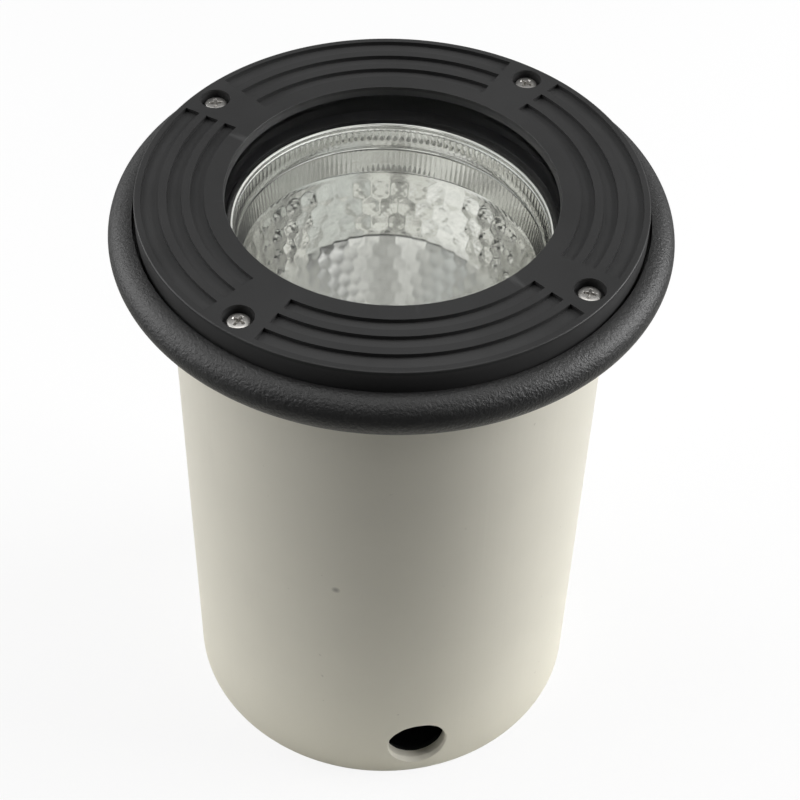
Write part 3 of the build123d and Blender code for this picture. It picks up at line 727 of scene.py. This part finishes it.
def face_outwards(piece):
    """Merges doubles and turns every face of a closed piece outwards."""
    mesh = bmesh.new()
    mesh.from_mesh(piece.data)
    bmesh.ops.remove_doubles(mesh, verts=mesh.verts, dist=1e-6)
    bmesh.ops.recalc_face_normals(mesh, faces=mesh.faces)
    mesh.to_mesh(piece.data)
    mesh.free()


class WELLLIGHT_OT_trim_screws(bpy.types.Operator):
    """Makes one cross-recess screw and stands four of them in the counterbores"""
    bl_idname = "welllight.trim_screws"
    bl_label = "Trim screws"

    def execute(self, context):
        given = settings("well_trim")
        steel = metal("stainless_steel", (0.60, 0.585, 0.56), 0.40, 1300, 0.00003)
        screw = make_pan_screw(given.head_radius, given.head_height, screws_high.z - screws_low.z)
        sizes = {
            "Screw circle": given.screw_circle * MM, "Screws": given.zones, "Top height": screws_high.z * MM,
            "Screw": screw, "Finish": steel, "Seed": 5,
        }
        tree, inputs, output = geometry_tree("trim_screws", sizes)
        circle = add_node(tree, "GeometryNodeMeshCircle", {
            "Vertices": inputs["Screws"], "Radius": inputs["Screw circle"]})
        half_step = FULL_TURN / 2 / inputs["Screws"]
        turned_circle = add_node(tree, "GeometryNodeTransform", {
            "Geometry": circle, "Rotation": upright(tree, half_step),
            "Translation": upright(tree, inputs["Top height"])})
        source = add_node(tree, "GeometryNodeObjectInfo", {"Object": inputs["Screw"], "As Instance": True})
        drive = add_node(tree, "FunctionNodeRandomValue", {2: 0.0, 3: pi / 2, "Seed": inputs["Seed"]},
                         data_type="FLOAT")
        spread = add_node(tree, "GeometryNodeInstanceOnPoints", {
            "Points": turned_circle, "Instance": source.outputs["Geometry"],
            "Rotation": upright(tree, drive.outputs[1])})
        end_tree(tree, output, spread, inputs["Finish"])
        piece = grow("cross_screws", tree, sizes)
        bpy.data.objects.remove(screw)
        smooth(piece, 32)
        finish_piece(piece, "root", steel, ["trim_screws"])
        return {"FINISHED"}


def make_pan_screw(radius, height, whole):
    """A pan-head screw, its head's top at zero, with a tapered cross recess."""
    shank = 2.0
    crown = [
        (radius * 0.40, -0.02), (radius * 0.66, -0.07), (radius * 0.82, -0.18), (radius * 0.92, -0.42),
        (radius * 0.98, -0.90), (radius, -1.6),
    ]
    outline = [(0, 0), *crown, (radius * 0.97, -height), (shank, -height), (shank, 1 - whole), (1.0, -whole),
               (0, -whole)]
    screw = lathe("pan_screw", outline, 48)
    for quarter in (0, 1):
        arm = tapered_bar(2.45, 1.1, 0.56, 0.40, 1.8)
        arm.data.transform(Matrix.Rotation(quarter * pi / 2, 4, "Z"))
        cut_out(screw, arm)
    return soften(screw, 0.09, 2, 40)


def tapered_bar(top_half, low_half, top_side, low_side, depth):
    """A bar from over zero down to a depth, narrowing on the way. Half lengths and half widths in millimetres."""
    mesh = bmesh.new()
    above = 0.4
    levels = ((above, top_half + 0.2, top_side + 0.03), (-depth, low_half, low_side))
    rings = [
        [mesh.verts.new((x * MM, y * MM, z * MM)) for x, y in ((a, b), (-a, b), (-a, -b), (a, -b))]
        for z, a, b in levels
    ]
    mesh.faces.new(rings[0])
    mesh.faces.new(rings[1][::-1])
    for corner in range(4):
        following = (corner + 1) % 4
        mesh.faces.new((rings[0][corner], rings[1][corner], rings[1][following], rings[0][following]))
    bmesh.ops.recalc_face_normals(mesh, faces=mesh.faces)
    return store("recess_bar", mesh)


# ---- Reflector ----
class WELLLIGHT_OT_reflector(bpy.types.Operator):
    """Grows the fluted and dimpled reflector with Geometry Nodes and aims it"""
    bl_idname = "welllight.reflector"
    bl_label = "Reflector"

    def execute(self, context):
        given = settings("well_reflector")
        mirror = mirror_material()
        names = """crease_depth crease_radius bowl_top bowl_radius knee_depth knee_radius upper_slope lower_slope
                   neck_radius depth wall blocks block flutes flute columns dimple first_row row_step column_shift"""
        sizes = {
            **sized(given, names), "Band steps": given.flutes * 8, "Bowl steps": given.columns * 16,
            "Mouth radius": given.rim_radius - 2 * given.lip_radius, "Finish": mirror,
        }
        tree, inputs, output = geometry_tree("dimpled_reflector", sizes)
        walls = add_node(tree, "GeometryNodeJoinGeometry")
        for wall in (fluted_band(tree, inputs), dimpled_bowl(tree, inputs)):
            feed(tree, walls.inputs[0], wall)
        end_tree(tree, output, walls, inputs["Finish"])
        piece = grow("dimpled_reflector", tree, sizes)
        add_rim_and_neck(piece, given)
        face_outwards(piece)
        smooth(piece, 60)
        aim = (Matrix.Translation((0, 0, PIVOT_HEIGHT * MM)) @ Matrix.Rotation(given.aim, 4, "Y")
               @ Matrix.Translation((0, 0, given.rim_over_pivot * MM)))
        piece.data.transform(aim)
        finish_piece(piece, "lamp_carrier", mirror, ["reflector"])
        return {"FINISHED"}


def closed_ring(tree, steps, rows, outer_rows):
    """A grid to be rolled into a closed ring, with its turn from 0 to 1, its way down from 0 to 1, and 1 inside."""
    total = rows + outer_rows + 2
    grid = add_node(tree, "GeometryNodeMeshGrid", {
        "Size X": 1.0, "Size Y": float(total), "Vertices X": steps + 1, "Vertices Y": total + 1})
    along, down, _ = split(tree, add_node(tree, "GeometryNodeInputPosition"))
    turn = along + 0.5
    step = down + total / 2
    down_run = step.apply("LESS_THAN", rows + 0.5)
    up_run = 1 - down_run
    way = step / rows * down_run + (1 - (step - (rows + 1)) / outer_rows) * up_run
    inside = down_run + step.apply("GREATER_THAN", total - 0.5)
    return grid.outputs["Mesh"], turn, way.ramp(0.0, 1.0), inside


def roll(tree, grid, turn, radius, depth):
    """Rolls a grid about Z by its turn, radius and depth below the rim, and closes its seams."""
    angle = turn * FULL_TURN
    spot = add_node(tree, "ShaderNodeCombineXYZ", {
        0: radius * angle.apply("COSINE") * MM, 1: radius * angle.apply("SINE") * MM, 2: depth * -MM})
    shaped = add_node(tree, "GeometryNodeSetPosition", {"Geometry": grid, "Position": spot})
    return add_node(tree, "GeometryNodeMergeByDistance", {"Geometry": shaped, "Distance": 1e-6})


def stations(way, depths):
    """Depths of the rows that a way from 0 to 1 meets, one after another."""
    count = len(depths) - 1
    total = depths[0]
    for number, (upper, lower) in enumerate(zip(depths, depths[1:])):
        total = way.ramp(number / count, (number + 1) / count) * (lower - upper) + total
    return total


# Rows of the upper band, in millimetres below the rim
BAND_ROWS = (0.3, 0.8, 1.0, 1.8, 4.6, 5.4, 9.1, 9.5, 9.9, 10.6, 16.0, 19.5)


def fluted_band(tree, inputs):
    """The upper wall: a row of lens blocks, a plain band, a crease line and fine flutes."""
    steps = inputs["Band steps"].apply("ROUND")
    grid, turn, way, inside = closed_ring(tree, steps, len(BAND_ROWS) - 1, 1)
    depth = stations(way, BAND_ROWS)
    radius = inputs["Mouth radius"] - (inputs["Mouth radius"] - inputs["Crease radius"]) * depth.ramp(
        0.0, inputs["Crease depth"])
    radius = radius - (inputs["Crease radius"] - inputs["Bowl radius"]) * depth.ramp(
        inputs["Crease depth"], inputs["Bowl top"])
    blocks = lens_row(turn, inputs["Blocks"]) * zone(depth, 1.0, 1.8, 4.6, 5.4)
    flutes = lens_row(turn, inputs["Flutes"]) * zone(depth, 9.9, 10.6, 14.0, 21.0)
    crease = zone(depth, 9.1, 9.5, 9.5, 9.9) * 0.3
    groove = 1 - depth.ramp(0.8, 1.0)
    rise = blocks * inputs["Block"] + flutes * inputs["Flute"] + crease - groove * 0.4
    radius = radius - rise * inside + inputs["Wall"] * (1 - inside)
    return roll(tree, grid, turn, radius, depth)


def zone(depth, start, full, fading, end):
    """1 in a zone of depths, falling to 0 on both sides of it."""
    return depth.ramp(start, full) * (1 - depth.ramp(fading, end))


def lens_row(turn, count):
    """A row of rounded lenses round the wall, 0 between them and 1 along their middles."""
    return (turn * count * pi).apply("SINE").apply("ABSOLUTE")


BOWL_ROWS, BACK_ROWS = 80, 5     # rows of faces down the bowl's inside, and up its back


def dimpled_bowl(tree, inputs):
    """The steep wall and the dished bottom under it, with staggered rows of dimples that shrink with its radius."""
    grid, turn, way, inside = closed_ring(tree, inputs["Bowl steps"], BOWL_ROWS, BACK_ROWS)
    top, top_radius = inputs["Bowl top"], inputs["Bowl radius"]
    knee, knee_radius = inputs["Knee depth"], inputs["Knee radius"]
    depth = inputs["Depth"] - (1 - way).apply("POWER", 1.5) * (inputs["Depth"] - top)
    over = (knee - depth).apply("MAXIMUM", 0.0)
    under = (depth - knee).apply("MAXIMUM", 0.0)
    upper, lower = knee - top, inputs["Depth"] - knee
    upper_bend = (top_radius - knee_radius - inputs["Upper slope"] * upper) / (upper * upper)
    lower_bend = (inputs["Neck radius"] - knee_radius + inputs["Lower slope"] * lower) / (lower * lower)
    wall = knee_radius + over * inputs["Upper slope"] + over * over * upper_bend
    radius = wall - under * inputs["Lower slope"] + under * under * lower_bend
    travelled = (upper - over) * 2.0 * stretch(top_radius - knee_radius, upper) / (top_radius + wall)
    travelled = travelled + under * 2.0 * stretch(knee_radius - inputs["Neck radius"], lower) / (
        knee_radius + radius.apply("MINIMUM", knee_radius))
    row = (travelled - inputs["First row"]) / inputs["Row step"]
    column = turn * inputs["Columns"] - inputs["Column shift"]
    nearest = cell_distance(column, row).apply("MINIMUM", cell_distance(column - 0.5, row - 1.0))
    rise = (1 - nearest.ramp(0.0, 0.36)) * inputs["Dimple"] * radius / inputs["Bowl radius"]
    sunk = (1 - way.ramp(0.0, 0.012)) * 0.4
    radius = radius - rise * inside + inputs["Wall"] * (1 - inside) + sunk
    return roll(tree, grid, turn, radius, depth - sunk)


def stretch(fall, rise):
    """Length of a leaning wall for each millimetre of its height."""
    lean = fall / rise
    return (lean * lean + 1.0).apply("SQRT")


def cell_distance(column, row):
    """Squared distance to the nearest middle of a lattice, one apart along and two apart across, from row 0 on."""
    along = column - column.apply("ROUND")
    across = (row - (row * 0.5).apply("ROUND").apply("MAXIMUM", 0.0) * 2.0) * 0.938
    return along * along + across * across


def add_rim_and_neck(piece, given):
    """Adds the rolled lip at the rim, and the neck with its flange, to the walls."""
    lip = lathe("rolled_lip", arc((given.rim_radius - given.lip_radius, -0.1), given.lip_radius, 0, 337.5, 15), 360)
    neck, wall = given.neck_radius - 0.02, given.wall
    top, low = 0.3 - given.depth, -given.depth - 4
    flange = neck + wall + 9
    collar = lathe("neck", [
        (neck, top), (neck, low), (flange, low), (flange, low + 1), (neck + wall, low + 1), (neck + wall, top),
    ], 180)
    graph = bpy.context.evaluated_depsgraph_get()
    mesh = bmesh.new()
    for part in (piece, lip, collar):
        mesh.from_object(part, graph)
    mesh.to_mesh(piece.data)
    mesh.free()
    for part in (lip, collar):
        bpy.data.objects.remove(part)


# ---- Pieces that keep their shape ----
class WELLLIGHT_OT_inner_pieces(bpy.types.Operator):
    """Gives the glass, the housing and everything inside it their finishes"""
    bl_idname = "welllight.inner_pieces"
    bl_label = "Inner pieces"

    def execute(self, context):
        black = (0.026, 0.026, 0.027)
        finishes = (
            (clear_glass(), "lens_glass"),
            (frosted_glass(), "lamp"),
            (moulded_black("cast_black", black, 900, 0.00006, 0.46, 0.10), "housing"),
            (moulded_black("black_nylon", black, 1200, 0.00003, 0.42, 0.08),
             "base_cap gimbal_ring gland_body gland_nut gland_locknut"),
            (moulded_black("black_silicone", grey(0.018), 700, 0.00002, 0.62, 0.08),
             "lens_gasket gland_seal gland_oring"),
            (metal("zinc_plate", (0.62, 0.62, 0.60), 0.34, 700, 0.00002),
             "pivot_pins lamp_bracket carrier_plate plate_screws reflector_screws holder_screws block_screws"),
            (metal("plain_brass", (0.70, 0.53, 0.26), 0.28),
             "holder_shell holder_contact lamp_contact terminal_screws earth_terminal"),
            (metal("nickel_plate", (0.68, 0.67, 0.65), 0.22), "lamp_cap"),
            (glazed("white_glaze", (0.80, 0.79, 0.75)), "lampholder terminal_block"),
            (glazed("natural_nylon", (0.70, 0.69, 0.64)), "pivot_bushes"),
        )
        for material, names in finishes:
            for name in names.split():
                mesh = frame["nodes"][name].data
                mesh.materials.clear()
                mesh.materials.append(material)
        return {"FINISHED"}


# ---- Stage ----
# Name, place, width and height in metres, and power in watts
LAMPS = (
    ("left_lamp", (-1.20, 0.15, 0.75), 1.5, 1.5, 18.0),
    ("right_lamp", (1.20, 0.15, 0.75), 0.9, 0.9, 19.5),
    ("top_lamp", (0.0, 0.35, 1.65), 1.0, 0.7, 4.0),
)


class WELLLIGHT_OT_stage(bpy.types.Operator):
    """Lays the pale floor, sets the lamps and the world, and places the camera"""
    bl_idname = "welllight.stage"
    bl_label = "Stage"

    def execute(self, context):
        scene = context.scene
        scene.view_settings.view_transform = "Standard"
        lay_floor()
        light_world(scene)
        for lamp in LAMPS:
            soft_lamp(*lamp)
        place_camera(scene)
        return {"FINISHED"}


def light_path(tree):
    """The Light Path node's outputs, and 1 for a ray that comes straight from the camera or through glass."""
    rays = add_node(tree, "ShaderNodeLightPath").outputs
    straight = math_node(tree, "MAXIMUM", rays["Is Camera Ray"], rays["Is Transmission Ray"])
    return rays, straight


def lay_floor():
    """A pale floor that shows white to the camera but keeps the shadow, and throws back warm light near the light."""
    mesh = bmesh.new()
    bmesh.ops.create_grid(mesh, x_segments=1, y_segments=1, size=6.0)
    floor = store("floor", mesh)
    made, tree, shader, place = new_material("pale_floor")
    glow = add_node(tree, "ShaderNodeEmission", {"Color": (1, 1, 1, 1), "Strength": 1.0})
    _, seen = light_path(tree)
    paper = blend_colours(tree, noise(tree, place, 3, 2), grey(0.90), grey(0.93))
    reach = Term(tree, add_node(tree, "ShaderNodeVectorMath", {0: place}, operation="LENGTH").outputs["Value"])
    bounced = blend_colours(tree, reach.ramp(0.12, 0.50), (0.88, 0.87, 0.81), grey(0.16))
    fill(tree, shader, {"Base Color": blend_colours(tree, seen, bounced, paper), "Roughness": 0.9})
    mixed = add_node(tree, "ShaderNodeMixShader", {0: seen * 0.85, 1: shader, 2: glow})
    feed(tree, tree.nodes["Material Output"].inputs["Surface"], mixed)
    floor.data.materials.append(made)


def light_world(scene):
    """Soft fill from the world, white where the camera looks, with its own surroundings for reflections."""
    world = bpy.data.worlds.new("studio")
    scene.world = world
    world.use_nodes = True
    tree = world.node_tree
    tree.nodes.clear()
    facing = add_node(tree, "ShaderNodeMapping", {
        "Vector": add_node(tree, "ShaderNodeTexCoord").outputs["Generated"],
        "Rotation": (0, 0, -settings("well_stage").turn)})
    across, away, rise = split(tree, facing)
    rays, straight = light_path(tree)
    bounces = Term(tree, rays["Glossy Depth"]) + rays["Diffuse Depth"]
    through_glass = Term(tree, rays["Transmission Depth"]).apply("GREATER_THAN", 0.5)
    from_bowl = through_glass * bounces.apply("GREATER_THAN", 0.5)
    bowl_light = rise.ramp(0.975, 0.99) * 0.6 + 1.0
    shown = add_node(tree, "ShaderNodeBackground", {
        "Color": (0.93, 0.96, 1.0, 1), "Strength": away.ramp(-0.35, 0.5) * 0.17 + 0.03})
    layers = (
        (rays["Is Glossy Ray"], dark_room(tree, away, rise), 1.0), (straight, (1, 1, 1, 1), 1.0),
        (from_bowl, bright_panels(tree, across, away, rise), bowl_light),
    )
    for factor, tone, strength in layers:
        layer = add_node(tree, "ShaderNodeBackground", {"Color": tone, "Strength": strength})
        shown = add_node(tree, "ShaderNodeMixShader", {0: factor, 1: shown, 2: layer})
    feed(tree, add_node(tree, "ShaderNodeOutputWorld").inputs[0], shown)


def dark_room(tree, away, rise):
    """What outer faces reflect: pale near the horizon behind the light, dark above it, white overhead."""
    behind = blend_colours(tree, rise.ramp(0.30, 0.50), grey(0.85), grey(0.05))
    before = blend_colours(tree, rise.ramp(0.46, 0.68), grey(0.02), grey(0.30))
    walls = blend_colours(tree, away.ramp(-0.15, 0.15), before, behind)
    return blend_colours(tree, rise.ramp(0.84, 0.93), walls, (0.90, 0.90, 0.88))


def bright_panels(tree, across, away, rise):
    """What the bowl reflects through the glass: grey and white panels, with brighter ones far to the right."""
    panels = (across * 9.0 + 2.4).apply("COSINE") * 0.7 + (away * 8.0 + 0.8).apply("COSINE") * 0.5
    room = blend_colours(tree, panels.ramp(0.0, 0.3), (0.46, 0.46, 0.44), (1.0, 1.0, 0.97))
    room = blend_colours(tree, across.ramp(0.55, 0.70) * 0.9, room, grey(1.4))
    room = blend_colours(tree, (across * -1.0).ramp(0.50, 0.66) * 0.8, room, (0.92, 0.95, 0.94))
    return blend_colours(tree, rise.ramp(0.975, 0.99), room, grey(1.0))


def soft_lamp(name, place, width, height, power):
    """A large rectangular lamp aimed at the light's upper half."""
    data = bpy.data.lights.new(name, "AREA")
    data.shape = "RECTANGLE"
    data.size = width
    data.size_y = height
    data.energy = power
    lamp = bpy.data.objects.new(name, data)
    turn = Matrix.Rotation(settings("well_stage").turn, 4, "Z")
    lamp.location = turn @ Vector(place)
    aim = Vector((0, 0, 0.15)) - lamp.location
    lamp.rotation_euler = aim.to_track_quat("-Z", "Y").to_euler()
    lamp.visible_transmission = False
    bpy.context.scene.collection.objects.link(lamp)


CAMERA_PLACE = Vector((0.00485, -0.48537, 0.40250))     # from the middle of the trim's face, in metres


def place_camera(scene):
    """The photograph's view: place, angle, roll and focal length from the fit of the light's circles."""
    given = settings("well_stage")
    data = bpy.data.cameras.new("camera")
    data.sensor_width = 36.0
    data.sensor_fit = "HORIZONTAL"
    data.lens = given.focal_length
    camera = bpy.data.objects.new("camera", data)
    scene.collection.objects.link(camera)
    tilt, roll = given.elevation, given.roll
    level = Vector((1, 0, 0))
    up = Vector((0, sin(tilt), cos(tilt)))
    back = Vector((0, -cos(tilt), sin(tilt)))
    side = level * cos(roll) - up * sin(roll)
    rise = level * sin(roll) + up * cos(roll)
    axes = Matrix((side, rise, back)).transposed().to_4x4()
    turn = Matrix.Rotation(given.turn, 4, "Z")
    camera.matrix_world = turn @ Matrix.Translation(CAMERA_PLACE + Vector((0, 0, TRIM_TOP * MM))) @ axes
    scene.camera = camera


# ---- Panel and registration ----
class WELLLIGHT_PT_panel(bpy.types.Panel):
    """Lists the settings and the pieces"""
    bl_idname = "WELLLIGHT_PT_panel"
    bl_label = "Well light"
    bl_space_type = "VIEW_3D"
    bl_region_type = "UI"
    bl_category = "Well light"

    def draw(self, context):
        for group in SETTINGS:
            box = self.layout.box()
            box.label(text=group.replace("well_", "").capitalize())
            values = getattr(context.scene, group)
            for name in values.bl_rna.properties.keys():
                if name not in ("rna_type", "name"):
                    box.prop(values, name)
        for operator in OPERATORS:
            self.layout.operator(operator.bl_idname)


SETTINGS = {
    "well_sleeve": SleeveSettings, "well_collar": CollarSettings, "well_trim": TrimSettings,
    "well_reflector": ReflectorSettings, "well_stage": StageSettings,
}
OPERATORS = (
    WELLLIGHT_OT_stage, WELLLIGHT_OT_sleeve, WELLLIGHT_OT_collar, WELLLIGHT_OT_trim_ring,
    WELLLIGHT_OT_trim_screws, WELLLIGHT_OT_reflector, WELLLIGHT_OT_inner_pieces,
)


def register():
    """Registers the settings, the operators and the panel."""
    for group, kind in SETTINGS.items():
        bpy.utils.register_class(kind)
        setattr(bpy.types.Scene, group, PointerProperty(type=kind))
    for kind in (*OPERATORS, WELLLIGHT_PT_panel):
        bpy.utils.register_class(kind)


def unregister():
    """Takes everything back out again."""
    for kind in (WELLLIGHT_PT_panel, *reversed(OPERATORS)):
        bpy.utils.unregister_class(kind)
    for group, kind in SETTINGS.items():
        delattr(bpy.types.Scene, group)
        bpy.utils.unregister_class(kind)


def main():
    """Registers everything and makes every piece in turn."""
    register()
    for operator in OPERATORS:
        getattr(bpy.ops.welllight, operator.bl_idname.split(".")[1])()


if __name__ == "__main__":
    main()
